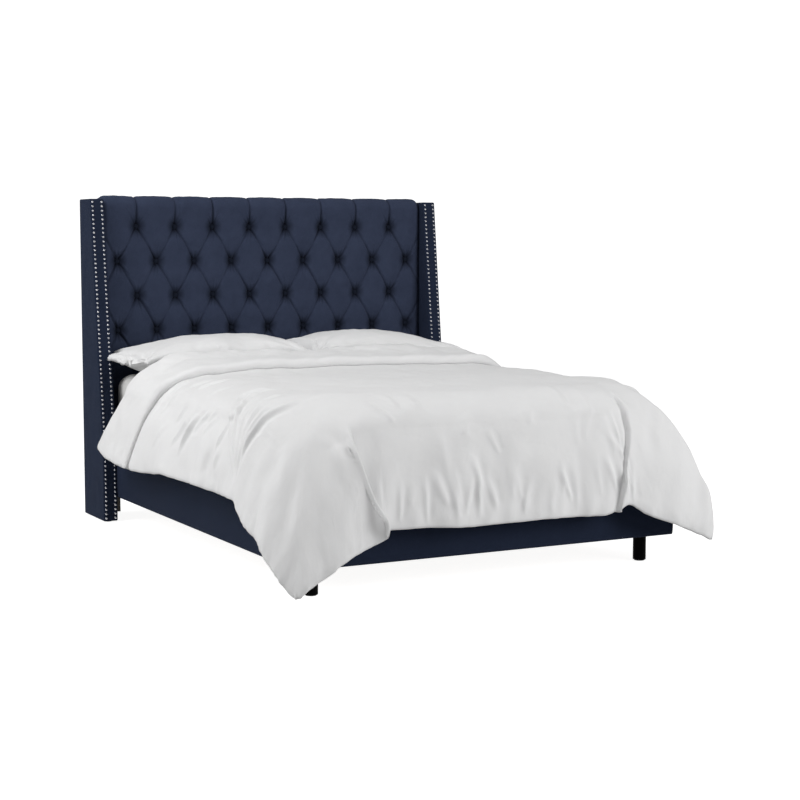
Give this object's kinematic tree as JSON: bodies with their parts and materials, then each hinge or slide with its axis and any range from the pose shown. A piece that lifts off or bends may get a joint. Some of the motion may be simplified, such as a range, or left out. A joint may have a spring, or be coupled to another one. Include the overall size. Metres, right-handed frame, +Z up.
{
  "type": "wingback bed",
  "caption": "Upholstered wingback bed with a diamond-tufted headboard, nailhead trim on the wings, low rails, round legs, mattress, pillows and a draped duvet.",
  "frame": {"origin": "on the floor, under the middle of the whole bed with its bedding", "axes": "+Z up, +Y towards the headboard, +X to the right seen from the foot"},
  "size_m": [1.9083, 2.3304, 1.442],
  "materials": {
    "navy_fabric": "plain woven upholstery cloth with a soft nap",
    "back_cloth": "thin woven dust cloth",
    "nail_metal": "polished nickel",
    "duvet_cotton": "fine cotton, soft folds",
    "pillow_cotton": "fine cotton",
    "sheet_cotton": "fine cotton jersey",
    "mattress_ticking": "quilted ticking",
    "foam": "soft open foam",
    "plywood": "sanded plywood",
    "slat_wood": "planed pine",
    "leg_black": "black satin lacquer",
    "glide_plastic": "moulded",
    "leveller_plastic": "moulded",
    "bracket_steel": "black powder coat",
    "bolt_steel": "zinc plated",
    "leg_steel": "black powder coat",
    "frame_timber": "planed softwood"
  },
  "bodies": {
    "bed_frame": {"beam_hanger_foot": "bracket_steel", "beam_hanger_head": "bracket_steel", "bracket_bolts": "bolt_steel", "centre_beam": "frame_timber", "centre_leg_1": "leg_steel", "centre_leg_2": "leg_steel", "centre_leg_3": "leg_steel", "corner_block_left": "frame_timber", "corner_block_right": "frame_timber", "corner_bracket_left": "bracket_steel", "corner_bracket_right": "bracket_steel", "footboard_board": "frame_timber", "footboard_cover": "navy_fabric", "front_leg_left": "leg_black", "front_leg_right": "leg_black", "glides": "glide_plastic", "head_bracket_left": "bracket_steel", "head_bracket_right": "bracket_steel", "headboard_back_cloth": "back_cloth", "headboard_bottom_rail": "frame_timber", "headboard_foam": "foam", "headboard_middle_rail": "frame_timber", "headboard_plywood": "plywood", "headboard_stile_left": "frame_timber", "headboard_stile_right": "frame_timber", "headboard_top_rail": "frame_timber", "headboard_tufted_cover": "navy_fabric", "ledger_left": "frame_timber", "ledger_right": "frame_timber", "nailheads_left": "nail_metal", "nailheads_right": "nail_metal", "side_rail_board_left": "frame_timber", "side_rail_board_right": "frame_timber", "side_rail_cover_left": "navy_fabric", "side_rail_cover_right": "navy_fabric", "slat_01": "slat_wood", "slat_02": "slat_wood", "slat_03": "slat_wood", "slat_04": "slat_wood", "slat_05": "slat_wood", "slat_06": "slat_wood", "slat_07": "slat_wood", "slat_08": "slat_wood", "slat_09": "slat_wood", "slat_10": "slat_wood", "slat_screws": "bolt_steel", "tufting_buttons": "navy_fabric", "wing_bolts": "bolt_steel", "wing_core_left": "frame_timber", "wing_core_right": "frame_timber", "wing_cover_left": "navy_fabric", "wing_cover_right": "navy_fabric"},
    "mattress": {"mattress": "mattress_ticking", "fitted_sheet": "sheet_cotton"},
    "duvet": {"duvet": "duvet_cotton"},
    "pillow_left": {"pillow_left": "pillow_cotton"},
    "pillow_right": {"pillow_right": "pillow_cotton"},
    "leveller_1": {"leveller_1": "leveller_plastic"},
    "leveller_2": {"leveller_2": "leveller_plastic"},
    "leveller_3": {"leveller_3": "leveller_plastic"}
  },
  "joints": [
    {"name": "mattress_lift", "type": "slide", "parent": "bed_frame", "child": "mattress", "axis": [0, 0, 1], "range_m": [0, 0.35]},
    {"name": "duvet_lift", "type": "slide", "parent": "mattress", "child": "duvet", "axis": [0, 0, 1], "range_m": [0, 0.4]},
    {"name": "pillow_left_lift", "type": "slide", "parent": "mattress", "child": "pillow_left", "axis": [0, 0, 1], "range_m": [0, 0.4]},
    {"name": "pillow_right_lift", "type": "slide", "parent": "mattress", "child": "pillow_right", "axis": [0, 0, 1], "range_m": [0, 0.4]},
    {"name": "leveller_1_screw", "type": "slide", "parent": "bed_frame", "child": "leveller_1", "axis": [0, 0, 1], "range_m": [0, 0.012]},
    {"name": "leveller_2_screw", "type": "slide", "parent": "bed_frame", "child": "leveller_2", "axis": [0, 0, 1], "range_m": [0, 0.012]},
    {"name": "leveller_3_screw", "type": "slide", "parent": "bed_frame", "child": "leveller_3", "axis": [0, 0, 1], "range_m": [0, 0.012]}
  ]
}
